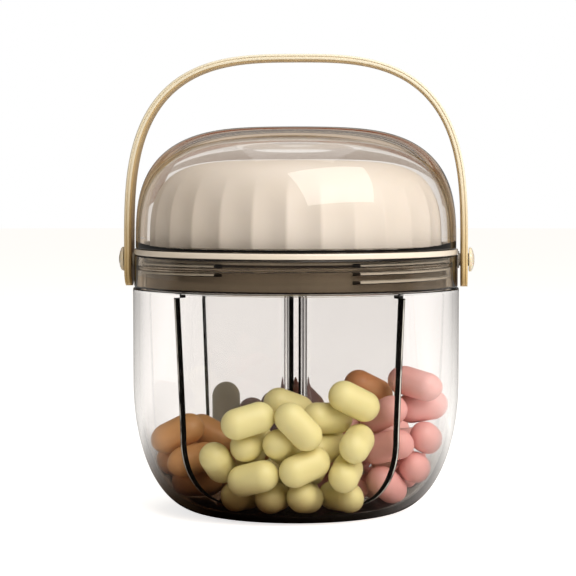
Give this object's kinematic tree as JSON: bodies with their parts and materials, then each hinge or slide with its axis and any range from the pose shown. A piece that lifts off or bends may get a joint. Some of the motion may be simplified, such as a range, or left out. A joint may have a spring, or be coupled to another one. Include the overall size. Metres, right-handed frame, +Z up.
{
  "type": "travel pill bottle",
  "caption": "Round clear pill jar with four compartments, a screwed smoke collar that carries a turning dispenser dome with a shutter, a push-on clear cover and a swinging handle.",
  "frame": {"origin": "centre of the flat foot that the bottle stands on", "axes": "+Z up through the cover, -Y towards the front as pictured, X through the handle's pivots"},
  "size_m": [0.0918, 0.084, 0.1174],
  "materials": {
    "clear_jar": "polished, clear",
    "smoke_divider": "polished, clear with a smoke tint",
    "pale_gasket": "matt silicone",
    "smoke_collar": "polished, clear with a brown smoke tint",
    "cream_ring": "polished",
    "dark_seal": "satin silicone",
    "clear_cover": "polished, clear with a faint warm tint",
    "cream_dome": "satin",
    "cream_base": "satin",
    "orange_shutter": "satin",
    "white_clip": "satin",
    "beige_strap": "satin",
    "pivot_cap": "polished, part clear",
    "yellow_caplet": "satin film coat",
    "pink_caplet": "satin film coat",
    "maroon_caplet": "satin film coat",
    "amber_caplet": "satin film coat"
  },
  "bodies": {
    "jar": {"jar": "clear_jar", "divider": "smoke_divider", "caplet_yellow_01": "yellow_caplet", "caplet_yellow_02": "yellow_caplet", "caplet_yellow_03": "yellow_caplet", "caplet_yellow_04": "yellow_caplet", "caplet_yellow_05": "yellow_caplet", "caplet_yellow_06": "yellow_caplet", "caplet_yellow_07": "yellow_caplet", "caplet_yellow_08": "yellow_caplet", "caplet_yellow_09": "yellow_caplet", "caplet_yellow_10": "yellow_caplet", "caplet_yellow_11": "yellow_caplet", "caplet_yellow_12": "yellow_caplet", "caplet_yellow_13": "yellow_caplet", "caplet_yellow_14": "yellow_caplet", "caplet_yellow_15": "yellow_caplet", "caplet_yellow_16": "yellow_caplet", "caplet_yellow_17": "yellow_caplet", "caplets_yellow_bed": "yellow_caplet", "caplet_pink_01": "pink_caplet", "caplet_pink_02": "pink_caplet", "caplet_pink_03": "pink_caplet", "caplet_pink_04": "pink_caplet", "caplet_pink_05": "pink_caplet", "caplet_pink_06": "pink_caplet", "caplet_pink_07": "pink_caplet", "caplet_pink_08": "pink_caplet", "caplet_pink_09": "pink_caplet", "caplets_pink_bed": "pink_caplet", "caplet_maroon_01": "maroon_caplet", "caplet_maroon_02": "maroon_caplet", "caplet_maroon_03": "maroon_caplet", "caplet_maroon_04": "maroon_caplet", "caplet_maroon_05": "maroon_caplet", "caplet_maroon_06": "maroon_caplet", "caplet_maroon_07": "maroon_caplet", "caplet_maroon_08": "maroon_caplet", "caplets_maroon_bed": "maroon_caplet", "caplet_amber_01": "amber_caplet", "caplet_amber_02": "amber_caplet", "caplet_amber_03": "amber_caplet", "caplet_amber_04": "amber_caplet", "caplet_amber_05": "amber_caplet", "caplet_amber_06": "amber_caplet", "caplet_amber_07": "amber_caplet", "caplet_amber_08": "amber_caplet", "caplets_amber_bed": "amber_caplet"},
    "gasket": {"jar_gasket": "pale_gasket"},
    "collar": {"collar": "smoke_collar", "collar_ring": "cream_ring", "cover_seal": "dark_seal", "pivot_cap_left": "pivot_cap", "pivot_cap_right": "pivot_cap"},
    "cover": {"cover": "clear_cover"},
    "selector": {"selector_dome": "cream_dome", "selector_base": "cream_base", "shutter_clip": "white_clip"},
    "shutter": {"shutter": "orange_shutter"},
    "handle": {"handle": "beige_strap"}
  },
  "joints": [
    {"name": "seal_rise", "type": "slide", "parent": "jar", "child": "gasket", "axis": [0, 0, 1], "range_m": [0, 0.0062]},
    {"name": "collar_turn", "type": "hinge", "parent": "gasket", "child": "collar", "pos_m": [0, 0, 0.0648], "axis": [0, 0, 1], "range_deg": [0, 1080]},
    {"name": "cover_lift", "type": "slide", "parent": "collar", "child": "cover", "axis": [0, 0, 1], "range_m": [0, 0.0085]},
    {"name": "handle_swing", "type": "hinge", "parent": "collar", "child": "handle", "pos_m": [0, 0, 0.0648], "axis": [1, 0, 0], "range_deg": [-115, 115]},
    {"name": "selector_turn", "type": "hinge", "parent": "collar", "child": "selector", "pos_m": [0, 0, 0.0678], "axis": [0, 0, 1], "continuous": true},
    {"name": "shutter_turn", "type": "hinge", "parent": "selector", "child": "shutter", "pos_m": [0, 0, 0.0884], "axis": [0, 0, 1], "range_deg": [0, 48]}
  ],
  "couplings": [
    {"joint": "seal_rise", "follows": "collar_turn", "m_per_rad": 0.00032627}
  ]
}
